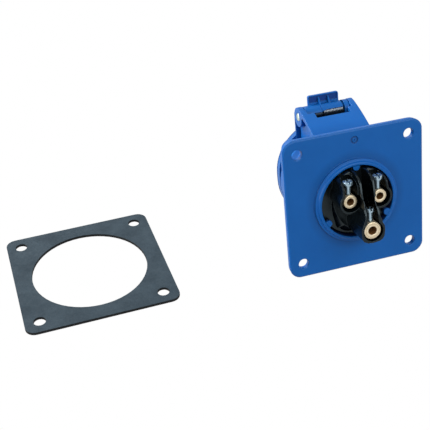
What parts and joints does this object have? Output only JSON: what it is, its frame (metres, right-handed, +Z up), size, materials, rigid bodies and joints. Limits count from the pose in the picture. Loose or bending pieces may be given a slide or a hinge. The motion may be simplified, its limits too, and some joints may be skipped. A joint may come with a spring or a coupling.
{
  "type": "power inlet",
  "caption": "Flanged panel-mount power inlet with a shrouded pin chamber, a sprung hinged lid, open screw terminals at the rear and a loose flat flange gasket.",
  "frame": {"origin": "centre of the flange's rear face, which is the face that sits on the panel", "axes": "+Y out of the rear face towards the terminals, -Y out of the front towards the lid, +Z up towards the lid hinge, +X to the left seen from the rear"},
  "size_m": [0.213, 0.0748, 0.0837],
  "materials": {
    "blue_housing": "fine-textured moulded polyamide, mid blue",
    "blue_lid": "fine-textured moulded polyamide, mid blue",
    "black_carrier": "black moulded thermoset, soft gloss",
    "seal_rubber": "black moulded rubber",
    "gasket_sheet": "slate grey cellular sheet",
    "contact_brass": "pale turned brass",
    "zinc_screw": "bright zinc plated steel",
    "pin_finish": "dull plated steel",
    "spring_steel": "drawn stainless wire"
  },
  "bodies": {
    "inlet_body": {"flange_housing": "blue_housing", "contact_carrier": "black_carrier", "carrier_seal": "seal_rubber", "line_contact": "contact_brass", "neutral_contact": "contact_brass", "earth_contact": "contact_brass", "hinge_pin": "pin_finish", "lid_spring": "spring_steel", "flange_gasket": "gasket_sheet"},
    "lid_body": {"lid": "blue_lid", "lid_seal": "seal_rubber"},
    "line_screw_body": {"line_terminal_screw": "zinc_screw"},
    "neutral_screw_body": {"neutral_terminal_screw": "zinc_screw"},
    "earth_screw_body": {"earth_terminal_screw": "zinc_screw"}
  },
  "joints": [
    {"name": "lid_hinge", "type": "hinge", "parent": "inlet_body", "child": "lid_body", "pos_m": [0, -0.036, 0.0365], "axis": [-1, 0, 0], "range_deg": [0, 90], "stiffness_Nm_per_rad": 0.02, "springref_deg": -45.84, "deforming": ["lid_spring"]},
    {"name": "line_screw_travel", "type": "slide", "parent": "inlet_body", "child": "line_screw_body", "axis": [0, 0, -1], "range_m": [0, 0.003]},
    {"name": "neutral_screw_travel", "type": "slide", "parent": "inlet_body", "child": "neutral_screw_body", "axis": [0, 0, -1], "range_m": [0, 0.003]},
    {"name": "earth_screw_travel", "type": "slide", "parent": "inlet_body", "child": "earth_screw_body", "axis": [0, 0, -1], "range_m": [0, 0.003]}
  ]
}
